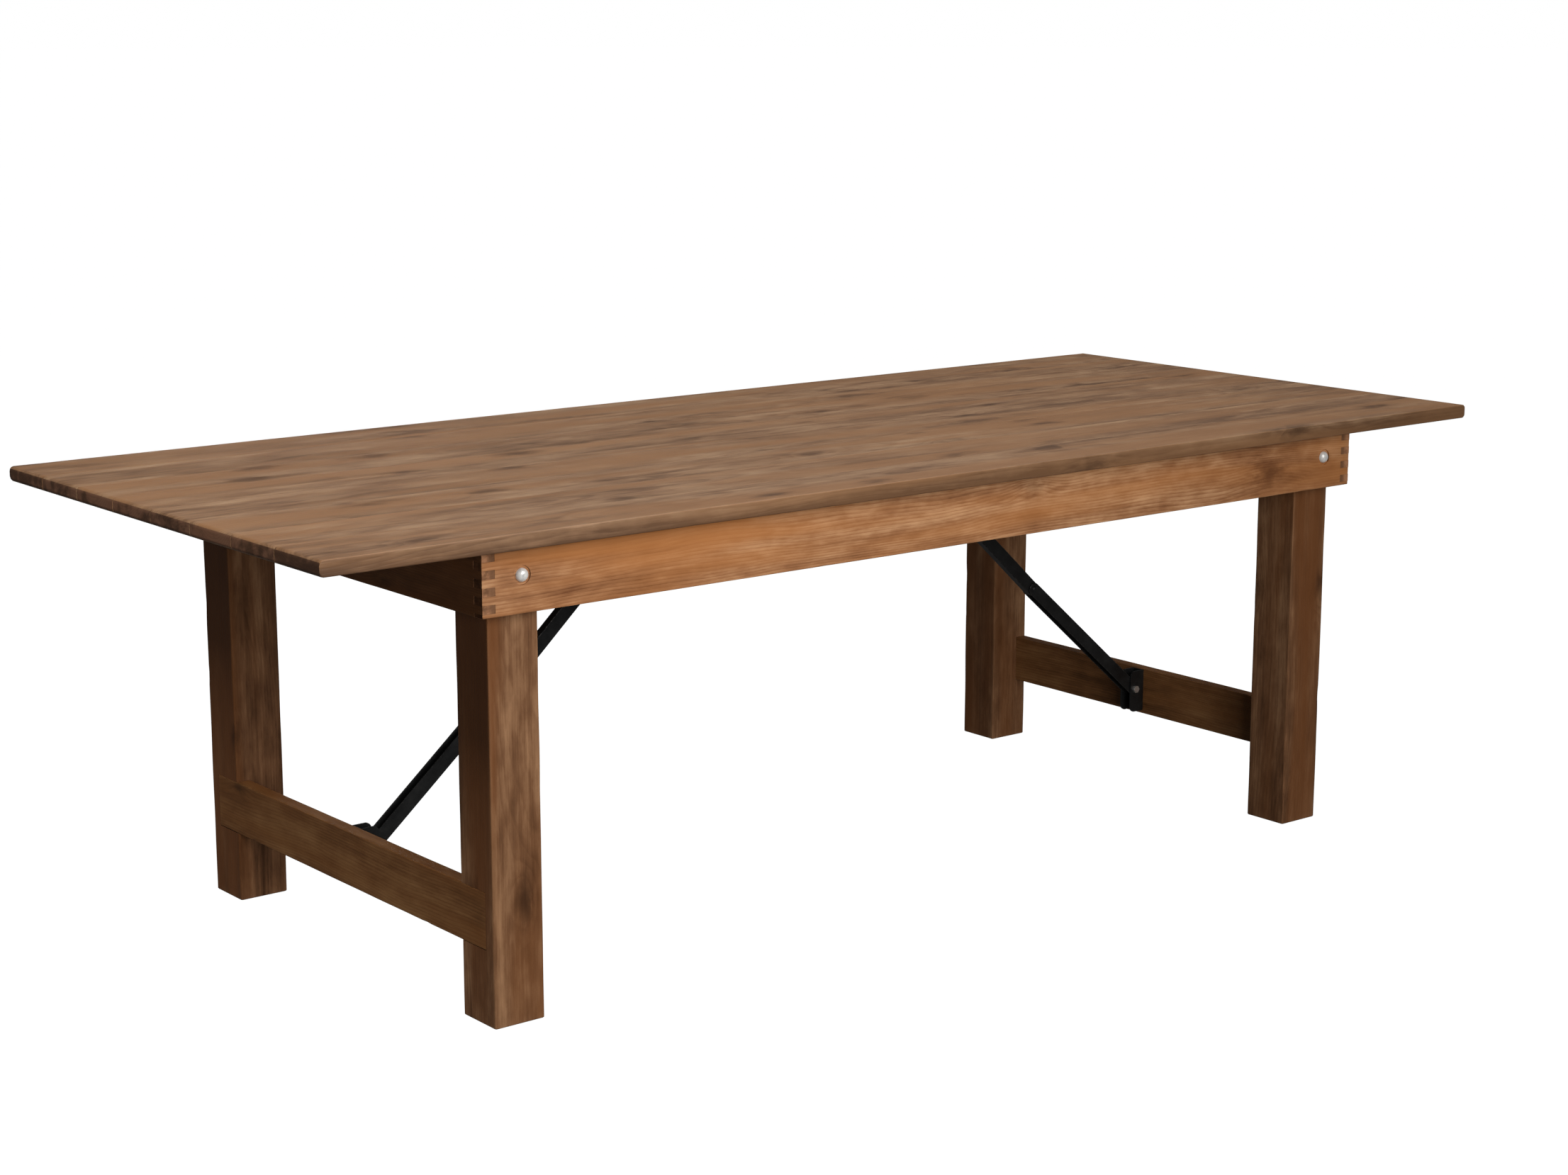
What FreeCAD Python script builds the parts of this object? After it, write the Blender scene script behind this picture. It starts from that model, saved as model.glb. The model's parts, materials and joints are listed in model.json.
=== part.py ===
"""Folding picnic table: a plank top on an apron frame, with two folding leg frames and two folding steel braces.

Millimetres, +Z up. X runs along the table, Y across it, and -Y is the front. The origin is on the floor
under the middle of the table. Each leg frame hinges on two bolts through the long aprons and folds inward,
and a two-armed brace in the plane Y = 0 holds it upright.
"""
import FreeCAD, Part
import math
import os

from FreeCAD import Vector

# ---- driving dimensions -------------------------------------------------------------------------------
TOP_LENGTH = 2438.0
TOP_WIDTH = 1016.0
TABLE_HEIGHT = 762.0
TOP_THICKNESS = 25.0
BOARD_COUNT = 8
BOARD_GAP = 1.5
TOP_EDGE_RADIUS = 6.0

END_OVERHANG = 282.0
SIDE_OVERHANG = 38.0
APRON_HEIGHT = 102.0
APRON_THICKNESS = 22.0
FINGER_COUNT = 4            # fingers of a short apron that show on the face of a long one

LEG_SIZE = 88.0
LEG_EDGE_RADIUS = 3.0
LEG_END_GAP = 3.0           # between a leg and the short apron
LEG_SIDE_GAP = 6.0          # between a leg and the long apron, filled by a spacer
RUNNING_GAP = 0.2           # end play of a leg between its spacer and its washer
PIVOT_DROP = 45.0           # pivot axis below the underside of the top

STRETCHER_HEIGHT = 90.0
STRETCHER_THICKNESS = 25.0
STRETCHER_BOTTOM = 119.0
HOUSING_SHOULDER = 22.0     # wood left between the end of the stretcher and the outer side of the leg

BATTEN_WIDTH = 70.0
BATTEN_THICKNESS = 22.0
BATTEN_CENTRE = 125.0       # from the middle of the table
BATTEN_SCREW_OFFSET = 20.0

BOLT_RADIUS = 5.0
BOLT_HEAD_RADIUS = 10.5
BOLT_HEAD_HEIGHT = 8.0
BOLT_RECESS_RADIUS = 14.5
BOLT_RECESS_DEPTH = 2.0
BOLT_END = 3.0              # thread showing past the nut
SPACER_RADIUS = 15.0
WASHER_RADIUS = 12.0
WASHER_THICKNESS = 2.0
NUT_FLATS = 17.0
NUT_HEIGHT = 8.0

ARM_HALF_HEIGHT = 12.5
UPPER_ARM_THICKNESS = 16.0
LOWER_BAR_THICKNESS = 2.0
ARM_SIDE_GAP = 0.5
ARM_EDGE_CHAMFER = 0.6
PIN_RADIUS = 4.0
PIN_SHOULDER_RADIUS = 5.0
PIN_CLEARANCE = 0.05        # radial, in every part that turns on a pin or a bolt
PIN_HEAD_RADIUS = 7.0
PIN_HEAD_HEIGHT = 3.0
PLATE_THICKNESS = 3.0
LUG_RADIUS = 12.0

UPPER_PIN_X = 250.0         # from the middle of the table
UPPER_PIN_DROP = 19.0       # below the underside of the top
LOWER_PIN_X = 864.0
LOWER_PIN_Z = 172.0
FOLDED_ELBOW_DROP = 27.5    # elbow below the underside of the top when folded
OVER_CENTRE = 0.1           # how much longer the two arms are together than the span they bridge

UPPER_PLATE = (70.0, 44.0)
LOWER_BRACKET_BOTTOM = 126.0
LOWER_BRACKET_TOP = 208.0
LOWER_SCREW_INSET = 13.0

SCREW_RADIUS = 2.0
SCREW_HEAD_RADIUS = 4.5
SCREW_HEAD_HEIGHT = 2.6
SCREW_BITE = 16.0           # length of a screw inside the second piece
CROWN_SHARE = 0.25          # flat crown of a domed head, as a share of its radius

# ---- derived dimensions -------------------------------------------------------------------------------
UNDERSIDE = TABLE_HEIGHT - TOP_THICKNESS
APRON_BOTTOM = UNDERSIDE - APRON_HEIGHT
APRON_X = TOP_LENGTH / 2 - END_OVERHANG
APRON_Y = TOP_WIDTH / 2 - SIDE_OVERHANG
APRON_INNER_X = APRON_X - APRON_THICKNESS
APRON_INNER_Y = APRON_Y - APRON_THICKNESS
LEG_X = APRON_INNER_X - LEG_END_GAP - LEG_SIZE / 2
LEG_OUTER_Y = APRON_INNER_Y - LEG_SIDE_GAP
LEG_INNER_Y = LEG_OUTER_Y - LEG_SIZE
LEG_OUTER_X = LEG_X + LEG_SIZE / 2
PIVOT_Z = UNDERSIDE - PIVOT_DROP
STRETCHER_HALF = LEG_OUTER_Y - HOUSING_SHOULDER
STRETCHER_INNER_X = LEG_OUTER_X - STRETCHER_THICKNESS
UPPER_PIN_Z = UNDERSIDE - UPPER_PIN_DROP
LUG_INNER_Y = UPPER_ARM_THICKNESS / 2 + ARM_SIDE_GAP
LOWER_BAR_OUTER_Y = LUG_INNER_Y + LOWER_BAR_THICKNESS
LOWER_LUG_Y = LOWER_BAR_OUTER_Y + ARM_SIDE_GAP
X_AXIS, Y_AXIS, Z_AXIS = Vector(1, 0, 0), Vector(0, 1, 0), Vector(0, 0, 1)


# ---- small helpers ------------------------------------------------------------------------------------
def box(x0, x1, y0, y1, z0, z1):
    """A box between two corners."""
    return Part.makeBox(x1 - x0, y1 - y0, z1 - z0, Vector(x0, y0, z0))


def rod(radius, x, y0, y1, z):
    """A cylinder along Y."""
    return Part.makeCylinder(radius, y1 - y0, Vector(x, y0, z), Y_AXIS)


def ring(outer, inner, x, y0, y1, z):
    """A washer or sleeve along Y."""
    return rod(outer, x, y0, y1, z).cut(rod(inner, x, y0, y1, z))


def hexagon(flats, x, y0, y1, z):
    """A hexagonal prism along Y."""
    corner = flats / 2 / math.cos(math.pi / 6)
    points = [Vector(x + corner * math.cos(math.pi / 3 * i), y0, z + corner * math.sin(math.pi / 3 * i))
              for i in range(6)]
    return Part.Face(Part.makePolygon(points + points[:1])).extrude(Vector(0, y1 - y0, 0))


def dome(radius, height, x, y, z, side):
    """A domed head with a small flat crown on the plane at y, rising along -Y (side = -1) or +Y (side = 1)."""
    rim, crown, top = Vector(radius, 0, 0), Vector(radius * CROWN_SHARE, height, 0), Vector(0, height, 0)
    shoulder = Vector(radius * 0.78, height * 0.66, 0)
    edges = [Part.makeLine(Vector(0, 0, 0), rim), Part.Arc(rim, shoulder, crown).toShape(),
             Part.makeLine(crown, top), Part.makeLine(top, Vector(0, 0, 0))]
    head = Part.Face(Part.Wire(edges)).revolve(Vector(0, 0, 0), Y_AXIS, 360)
    if side < 0:
        head = head.mirror(Vector(0, 0, 0), Y_AXIS)
    head.translate(Vector(x, y, z))
    return head


def slot_bar(start, end, radius, y0, y1):
    """A flat bar with round ends between two points of the plane Y = 0, with eased long edges."""
    length = (end - start).Length
    along = (end - start).normalize()
    side = Vector(-along.z, 0, along.x) * radius
    edges = [Part.makeLine(start + side, end + side),
             Part.Arc(end + side, end + along * radius, end - side).toShape(),
             Part.makeLine(end - side, start - side),
             Part.Arc(start - side, start - along * radius, start + side).toShape()]
    bar = Part.Face(Part.Wire(edges)).extrude(Vector(0, y1 - y0, 0))
    bar.translate(Vector(0, y0, 0))
    long_edges = [e for e in bar.Edges if abs(e.Length - length) < 0.01]
    return bar.makeChamfer(ARM_EDGE_CHAMFER, long_edges)


def screw(head_centre, direction, length):
    """A countersunk screw: the flat of its head lies at head_centre, and the shank runs along direction."""
    head = Part.makeCone(SCREW_HEAD_RADIUS, SCREW_RADIUS, SCREW_HEAD_HEIGHT, head_centre, direction)
    shank = Part.makeCylinder(SCREW_RADIUS, length, head_centre, direction)
    return head.fuse(shank).removeSplitter()


def left(shape):
    """The same piece at the other end of the table."""
    return shape.mirror(Vector(0, 0, 0), X_AXIS)


def back(shape):
    """The same piece on the other long side of the table."""
    return shape.mirror(Vector(0, 0, 0), Y_AXIS)


# ---- brace geometry -----------------------------------------------------------------------------------
def folded(point):
    """Where a point of the right leg frame goes when the frame folds by 90 degrees."""
    dx, dz = point.x - LEG_X, point.z - PIVOT_Z
    return Vector(LEG_X + dz, point.y, PIVOT_Z - dx)


def brace_points():
    """Pins of the right brace: upper, elbow, lower, and the elbow when folded.

    The folded elbow lies under the top, on the far side of the folded lower pin. Its place along X makes the
    arms together OVER_CENTRE longer than the distance between the two end pins when the legs stand.
    """
    upper = Vector(UPPER_PIN_X, 0, UPPER_PIN_Z)
    lower = Vector(LOWER_PIN_X, 0, LOWER_PIN_Z)
    lower_folded = folded(lower)
    span = (lower - upper).Length
    near, far = lower_folded.x, LEG_X
    for _ in range(60):
        middle = (near + far) / 2
        elbow_folded = Vector(middle, 0, UNDERSIDE - FOLDED_ELBOW_DROP)
        total = (elbow_folded - upper).Length + (elbow_folded - lower_folded).Length
        if total < span + OVER_CENTRE:
            near = middle
        else:
            far = middle
    upper_arm = (elbow_folded - upper).Length
    lower_arm = (elbow_folded - lower_folded).Length
    along = (lower - upper) * (1 / span)
    foot = (upper_arm ** 2 - lower_arm ** 2 + span ** 2) / (2 * span)
    rise = math.sqrt(upper_arm ** 2 - foot ** 2)
    elbow = upper + along * foot + Vector(along.z, 0, -along.x) * rise
    return upper, elbow, lower, elbow_folded


def turn(start, end):
    """Angle in degrees, seen from the front, from one direction to another, positive clockwise."""
    return math.degrees(math.atan2(start.z, start.x) - math.atan2(end.z, end.x))


UPPER_PIN, ELBOW, LOWER_PIN, ELBOW_FOLDED = brace_points()
UPPER_ARM_TURN = turn(ELBOW - UPPER_PIN, ELBOW_FOLDED - UPPER_PIN)
LOWER_ARM_TURN = turn(ELBOW - LOWER_PIN, ELBOW_FOLDED - folded(LOWER_PIN)) - 90.0


# ---- top ----------------------------------------------------------------------------------------------
def batten_screws():
    """Screws through the right cross batten, two in each board."""
    pitch = TOP_WIDTH / BOARD_COUNT
    screws = []
    for number in range(BOARD_COUNT):
        y = -TOP_WIDTH / 2 + pitch * (number + 0.5)
        y = max(-APRON_INNER_Y + 2 * SCREW_HEAD_RADIUS, min(APRON_INNER_Y - 2 * SCREW_HEAD_RADIUS, y))
        for offset in (-BATTEN_SCREW_OFFSET, BATTEN_SCREW_OFFSET):
            start = Vector(BATTEN_CENTRE + offset, y, UNDERSIDE - BATTEN_THICKNESS)
            screws.append(screw(start, Z_AXIS, BATTEN_THICKNESS + SCREW_BITE))
    return screws


def upper_bracket_screws():
    """Screws that hold the right upper bracket to the two middle boards."""
    reach_x, reach_y = UPPER_PLATE[0] / 2 - 9, UPPER_PLATE[1] / 2 - 6
    return [screw(Vector(UPPER_PIN_X + dx, dy, UNDERSIDE - PLATE_THICKNESS), Z_AXIS,
                  PLATE_THICKNESS + SCREW_BITE)
            for dx in (-reach_x, reach_x) for dy in (-reach_y, reach_y)]


def top_board(number, drilling):
    """One plank of the top, drilled for the screws that end in it. Board 0 is the front one."""
    pitch = TOP_WIDTH / BOARD_COUNT
    y0 = -TOP_WIDTH / 2 + pitch * number
    y1 = y0 + pitch
    if number > 0:
        y0 += BOARD_GAP / 2
    if number < BOARD_COUNT - 1:
        y1 -= BOARD_GAP / 2
    board = box(-TOP_LENGTH / 2, TOP_LENGTH / 2, y0, y1, UNDERSIDE, TABLE_HEIGHT)
    rounded = []
    for edge in board.Edges:
        middle = edge.CenterOfMass
        at_end = abs(abs(middle.x) - TOP_LENGTH / 2) < 0.1 and abs(middle.y - (y0 + y1) / 2) < 0.1
        at_side = abs(abs(middle.y) - TOP_WIDTH / 2) < 0.1 and abs(middle.x) < 0.1
        if at_end or at_side:
            rounded.append(edge)
    return board.makeFillet(TOP_EDGE_RADIUS, rounded).cut(drilling)


def fingers(x0, x1, y0, y1):
    """The fingers of a short apron that reach through a long one, as boxes."""
    height = APRON_HEIGHT / (2 * FINGER_COUNT)
    return [box(x0, x1, y0, y1, APRON_BOTTOM + height * (2 * i + 0.5), APRON_BOTTOM + height * (2 * i + 1.5))
            for i in range(FINGER_COUNT)]


def front_apron():
    """Front long apron, with finger slots at its ends and a recessed bolt hole for each leg."""
    apron = box(-APRON_X, APRON_X, -APRON_Y, -APRON_INNER_Y, APRON_BOTTOM, UNDERSIDE)
    for piece in fingers(APRON_INNER_X, APRON_X, -APRON_Y, -APRON_INNER_Y):
        apron = apron.cut(piece).cut(left(piece))
    for x in (-LEG_X, LEG_X):
        apron = apron.cut(rod(BOLT_RADIUS, x, -APRON_Y, -APRON_INNER_Y, PIVOT_Z))
        apron = apron.cut(rod(BOLT_RECESS_RADIUS, x, -APRON_Y, -APRON_Y + BOLT_RECESS_DEPTH, PIVOT_Z))
    return apron


def right_apron():
    """Right short apron, with its fingers in the long ones."""
    apron = box(APRON_INNER_X, APRON_X, -APRON_INNER_Y, APRON_INNER_Y, APRON_BOTTOM, UNDERSIDE)
    for piece in fingers(APRON_INNER_X, APRON_X, -APRON_Y, -APRON_INNER_Y):
        apron = apron.fuse([piece, back(piece)])
    return apron.removeSplitter()


def right_batten():
    """Right cross batten under the boards."""
    half = BATTEN_WIDTH / 2
    batten = box(BATTEN_CENTRE - half, BATTEN_CENTRE + half, -APRON_INNER_Y, APRON_INNER_Y,
                 UNDERSIDE - BATTEN_THICKNESS, UNDERSIDE)
    return batten.cut(Part.makeCompound(batten_screws()))


# ---- pivots of the legs -------------------------------------------------------------------------------
def pivot_bolt():
    """Front right pivot bolt: domed head in the apron's recess, shank through spacer, leg, washer and nut."""
    seat = -APRON_Y + BOLT_RECESS_DEPTH
    end = -LEG_INNER_Y + RUNNING_GAP + WASHER_THICKNESS + NUT_HEIGHT + BOLT_END
    head = dome(BOLT_HEAD_RADIUS, BOLT_HEAD_HEIGHT, LEG_X, seat, PIVOT_Z, -1)
    return head.fuse(rod(BOLT_RADIUS, LEG_X, seat, end, PIVOT_Z)).removeSplitter()


def leg_spacer():
    """Spacer between the long apron and the front right leg."""
    return ring(SPACER_RADIUS, BOLT_RADIUS, LEG_X, -APRON_INNER_Y, -LEG_OUTER_Y - RUNNING_GAP, PIVOT_Z)


def pivot_washer():
    """Washer on the inner side of the front right leg."""
    start = -LEG_INNER_Y + RUNNING_GAP
    return ring(WASHER_RADIUS, BOLT_RADIUS, LEG_X, start, start + WASHER_THICKNESS, PIVOT_Z)


def pivot_nut():
    """Lock nut of the front right pivot bolt."""
    start = -LEG_INNER_Y + RUNNING_GAP + WASHER_THICKNESS
    nut = hexagon(NUT_FLATS, LEG_X, start, start + NUT_HEIGHT, PIVOT_Z)
    return nut.cut(rod(BOLT_RADIUS, LEG_X, start, start + NUT_HEIGHT, PIVOT_Z))


# ---- leg frames ---------------------------------------------------------------------------------------
def stretcher():
    """Right stretcher, flush with the outer faces of the legs."""
    return box(STRETCHER_INNER_X, LEG_OUTER_X, -STRETCHER_HALF, STRETCHER_HALF,
               STRETCHER_BOTTOM, STRETCHER_BOTTOM + STRETCHER_HEIGHT)


def leg():
    """Front right leg: round top about the pivot, eased edges, a pivot hole and a housing for the stretcher."""
    half = LEG_SIZE / 2
    y0 = -LEG_OUTER_Y
    low_in, low_out = Vector(LEG_X - half, y0, 0), Vector(LEG_X + half, y0, 0)
    high_in, high_out = Vector(LEG_X - half, y0, PIVOT_Z), Vector(LEG_X + half, y0, PIVOT_Z)
    crown = Part.Arc(high_out, Vector(LEG_X, y0, PIVOT_Z + half), high_in).toShape()
    outline = Part.Wire([Part.makeLine(low_in, low_out), Part.makeLine(low_out, high_out), crown,
                         Part.makeLine(high_in, low_in)])
    body = Part.Face(outline).extrude(Vector(0, LEG_SIZE, 0))
    eased = []
    for edge in body.Edges:
        along_y = abs(edge.Vertexes[0].Y - edge.Vertexes[-1].Y) > 1
        if not along_y and edge.BoundBox.ZMax > 1:
            eased.append(edge)
    body = body.makeFillet(LEG_EDGE_RADIUS, eased)
    hole = rod(BOLT_RADIUS + PIN_CLEARANCE, LEG_X, -LEG_OUTER_Y, -LEG_INNER_Y, PIVOT_Z)
    return body.cut(hole).cut(stretcher())


def lower_bracket_screws():
    """Screws that hold the right lower bracket to the stretcher, one above the pin and one below it."""
    return [screw(Vector(STRETCHER_INNER_X - PLATE_THICKNESS, 0, z), X_AXIS, PLATE_THICKNESS + SCREW_BITE)
            for z in (LOWER_BRACKET_BOTTOM + LOWER_SCREW_INSET, LOWER_BRACKET_TOP - LOWER_SCREW_INSET)]


# ---- brackets and pins --------------------------------------------------------------------------------
def upper_bracket():
    """Right upper bracket: a plate under the boards with two round-ended lugs about the upper arm."""
    top = UNDERSIDE - PLATE_THICKNESS
    half_x, half_y = UPPER_PLATE[0] / 2, UPPER_PLATE[1] / 2
    bracket = box(UPPER_PIN_X - half_x, UPPER_PIN_X + half_x, -half_y, half_y, top, UNDERSIDE)
    for side in (-1, 1):
        y0, y1 = sorted((side * LUG_INNER_Y, side * (LUG_INNER_Y + PLATE_THICKNESS)))
        lug = box(UPPER_PIN_X - LUG_RADIUS, UPPER_PIN_X + LUG_RADIUS, y0, y1, UPPER_PIN_Z, top)
        bracket = bracket.fuse([lug, rod(LUG_RADIUS, UPPER_PIN_X, y0, y1, UPPER_PIN_Z)])
    bracket = bracket.removeSplitter().cut(rod(PIN_RADIUS, UPPER_PIN_X, -half_y, half_y, UPPER_PIN_Z))
    return bracket.cut(Part.makeCompound(upper_bracket_screws()))


def upper_pin():
    """Riveted pin of the right upper bracket."""
    reach = LUG_INNER_Y + PLATE_THICKNESS
    pin = rod(PIN_RADIUS, UPPER_PIN_X, -reach, reach, UPPER_PIN_Z)
    heads = [dome(PIN_HEAD_RADIUS, PIN_HEAD_HEIGHT, UPPER_PIN_X, side * reach, UPPER_PIN_Z, side)
             for side in (-1, 1)]
    return pin.fuse(heads).removeSplitter()


def lower_bracket():
    """Right lower bracket: a channel on the stretcher, its two sides outside the lower arm's bars."""
    nose, face, reach = LOWER_PIN_X - LUG_RADIUS, STRETCHER_INNER_X, LOWER_LUG_Y + PLATE_THICKNESS
    bracket = box(nose, face, -reach, reach, LOWER_BRACKET_BOTTOM, LOWER_BRACKET_TOP)
    corners = [e for e in bracket.Edges if abs(e.CenterOfMass.x - nose) < 0.1 and abs(e.CenterOfMass.y) < 0.1]
    bracket = bracket.makeFillet(LUG_RADIUS - 1, corners)
    bracket = bracket.cut(box(nose, face - PLATE_THICKNESS, -LOWER_LUG_Y, LOWER_LUG_Y,
                              LOWER_BRACKET_BOTTOM, LOWER_BRACKET_TOP))
    bracket = bracket.cut(rod(PIN_RADIUS, LOWER_PIN_X, -reach, reach, LOWER_PIN_Z))
    return bracket.cut(Part.makeCompound(lower_bracket_screws()))


def lower_pin():
    """Bolt of the right lower bracket: hexagonal head in front, nut behind, thicker between the two bars."""
    reach = LOWER_LUG_Y + PLATE_THICKNESS
    shoulder = LUG_INNER_Y - RUNNING_GAP
    pieces = [rod(PIN_SHOULDER_RADIUS, LOWER_PIN_X, -shoulder, shoulder, LOWER_PIN_Z),
              hexagon(2 * PIN_HEAD_RADIUS - 1, LOWER_PIN_X, -reach - 5, -reach, LOWER_PIN_Z),
              hexagon(2 * PIN_HEAD_RADIUS - 1, LOWER_PIN_X, reach, reach + 6, LOWER_PIN_Z)]
    return rod(PIN_RADIUS, LOWER_PIN_X, -reach, reach + 8, LOWER_PIN_Z).fuse(pieces).removeSplitter()


# ---- brace arms ---------------------------------------------------------------------------------------
def upper_arm():
    """Upper arm of the right brace: one bar that passes between the bars of the lower arm."""
    half = UPPER_ARM_THICKNESS / 2
    arm = slot_bar(UPPER_PIN, ELBOW, ARM_HALF_HEIGHT, -half, half)
    arm = arm.cut(rod(PIN_RADIUS + PIN_CLEARANCE, UPPER_PIN.x, -half, half, UPPER_PIN.z))
    return arm.cut(rod(PIN_RADIUS, ELBOW.x, -half, half, ELBOW.z))


def lower_bar():
    """Front bar of the right brace's lower arm."""
    y0, y1 = -LOWER_BAR_OUTER_Y, -LUG_INNER_Y
    bar = slot_bar(LOWER_PIN, ELBOW, ARM_HALF_HEIGHT, y0, y1)
    bar = bar.cut(rod(PIN_RADIUS + PIN_CLEARANCE, LOWER_PIN.x, y0, y1, LOWER_PIN.z))
    return bar.cut(rod(PIN_RADIUS, ELBOW.x, y0, y1, ELBOW.z))


def elbow_rivet():
    """Rivet at the elbow of the front bar. It stops at the bar's inner face."""
    head = dome(PIN_HEAD_RADIUS, PIN_HEAD_HEIGHT, ELBOW.x, -LOWER_BAR_OUTER_Y, ELBOW.z, -1)
    return head.fuse(rod(PIN_RADIUS, ELBOW.x, -LOWER_BAR_OUTER_Y, -LUG_INNER_Y, ELBOW.z)).removeSplitter()


# ---- assembly -----------------------------------------------------------------------------------------
def pair(shape):
    """A piece at the front and its twin at the back, as one group of separate solids."""
    return Part.makeCompound([shape, back(shape)])


def build():
    """Every node of the table by name."""
    nodes = {}
    drilling = Part.makeCompound([s for piece in batten_screws() + upper_bracket_screws()
                                  for s in (piece, left(piece))])
    for number in range(BOARD_COUNT):
        nodes[f"top_board_{number + 1}"] = top_board(number, drilling)
    nodes["apron_front"] = front_apron()
    nodes["apron_back"] = back(nodes["apron_front"])

    ends = {
        "apron": right_apron(),
        "cross_batten": right_batten(),
        "batten_screws": Part.makeCompound(batten_screws()),
        "pivot_bolt_front": pivot_bolt(),
        "pivot_bolt_back": back(pivot_bolt()),
        "leg_spacers": pair(leg_spacer()),
        "pivot_washers": pair(pivot_washer()),
        "pivot_nuts": pair(pivot_nut()),
        "upper_bracket": upper_bracket(),
        "upper_bracket_screws": Part.makeCompound(upper_bracket_screws()),
        "upper_pin": upper_pin(),
        "leg_front": leg(),
        "leg_back": back(leg()),
        "stretcher": stretcher().cut(Part.makeCompound(lower_bracket_screws())),
        "lower_bracket": lower_bracket(),
        "lower_bracket_screws": Part.makeCompound(lower_bracket_screws()),
        "lower_pin": lower_pin(),
        "upper_arm": upper_arm(),
        "lower_bar_front": lower_bar(),
        "lower_bar_back": back(lower_bar()),
        "elbow_rivets": pair(elbow_rivet()),
    }
    for name, shape in ends.items():
        nodes[f"{name}_right"] = shape
        nodes[f"{name}_left"] = left(shape)
    return nodes


os.makedirs("parts", exist_ok=True)
for node, shape in build().items():
    shape.exportStep(f"parts/{node}.step")
    print(f"{node}: {len(shape.Solids)} solid(s), {shape.Volume / 1000:.1f} cm3, valid {shape.isValid()}")

print(f"leg pivot at x {LEG_X:.3f}, z {PIVOT_Z:.3f}")
print(f"upper pin {tuple(round(v, 3) for v in UPPER_PIN)}, turn {UPPER_ARM_TURN:.4f}")
print(f"lower pin {tuple(round(v, 3) for v in LOWER_PIN)}, turn {LOWER_ARM_TURN:.4f}")
print(f"elbow {tuple(round(v, 3) for v in ELBOW)}, folded {tuple(round(v, 3) for v in ELBOW_FOLDED)}")
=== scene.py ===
"""Looks of the folding farm table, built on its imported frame. Metres, +Z up, the front side faces -Y."""

import json
import random
from math import cos, pi, radians, sin, sqrt

import bmesh
import bpy
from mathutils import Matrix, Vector, noise


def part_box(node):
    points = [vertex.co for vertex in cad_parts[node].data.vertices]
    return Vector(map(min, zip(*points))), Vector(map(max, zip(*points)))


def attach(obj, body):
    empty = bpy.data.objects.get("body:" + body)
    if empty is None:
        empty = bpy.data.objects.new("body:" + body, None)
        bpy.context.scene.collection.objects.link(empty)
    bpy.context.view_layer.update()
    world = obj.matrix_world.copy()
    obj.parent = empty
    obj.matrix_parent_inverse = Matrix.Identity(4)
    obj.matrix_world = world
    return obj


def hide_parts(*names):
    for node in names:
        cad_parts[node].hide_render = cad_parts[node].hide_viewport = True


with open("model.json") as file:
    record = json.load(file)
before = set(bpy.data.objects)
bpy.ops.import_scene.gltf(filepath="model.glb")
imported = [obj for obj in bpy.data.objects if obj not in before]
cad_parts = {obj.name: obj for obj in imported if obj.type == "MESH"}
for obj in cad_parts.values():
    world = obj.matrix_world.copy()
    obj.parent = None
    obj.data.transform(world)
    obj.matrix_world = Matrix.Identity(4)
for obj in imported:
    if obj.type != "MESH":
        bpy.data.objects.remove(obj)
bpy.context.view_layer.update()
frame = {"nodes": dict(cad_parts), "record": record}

BODY_OF = {
    node: body
    for body, nodes in frame["record"]["behaviour"]["bodies"].items()
    for node in nodes
}
SIDES = ("left", "right")
BOARDS = 8  # in the table top, counted from the front
FINGERS = 4  # at each end of a short apron

# Coordinates of the frame that run along, across and through a length of timber
GRAIN = {"X": (0, 1, 2), "Y": (1, 0, 2), "Z": (2, 0, 1)}

STATION = 0.012  # between the rings of a timber's mesh
ARC = 4  # segments in a rounded arris
SHARPEST = 0.0003  # an arris' smallest radius
ROUNDEST = 0.46  # its largest, as a share of the timber's half side
SHOULDER = 0.004  # from an arris to where its wear ends
NARROW = 0.25  # that distance on a thin timber, as a share of its half side
WANDER, WANDER_RATE, WANDER_STEP = 0.55, 11, 7.3  # of the radii: share, pace along, step between arrises
KNOCKS = 14  # on a timber, for each metre of half its length
KNOCK_DEPTH, KNOCK_REACH = (0.0004, 0.0021), (0.006, 0.022)
BELL = 2.718  # base of the curve that a knock has along its arris
TONE = 0.055  # how much lighter or darker one timber may be than another
SHADED_EDGE_DEPTH, SHADED_EDGE_DARK = 0.0015, 0.6  # how deep and how dark the painted shade on the long outer edge faces of the top is
FIT = 0.0002  # between the faces of a joint
SEAM = 0.0005  # that each board's side is swollen into the gap between boards
OVERSHOOT = 0.01  # of a cutter, past the surface that it cuts
RECESS_RADIUS, RECESS_DEPTH = 0.0145, 0.002  # round each pivot bolt
SCREW_HEAD = 0.0045  # radius
DRIVE_REACH, DRIVE_WIDTH, DRIVE_DEPTH = 0.0024, 0.0006, 0.0014  # the width is half a slot's

RING = 0.0052  # between growth rings
KNOT_CELLS = (3.4, 9.0, 0.0)  # places for knots, a metre along and round a timber
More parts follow.
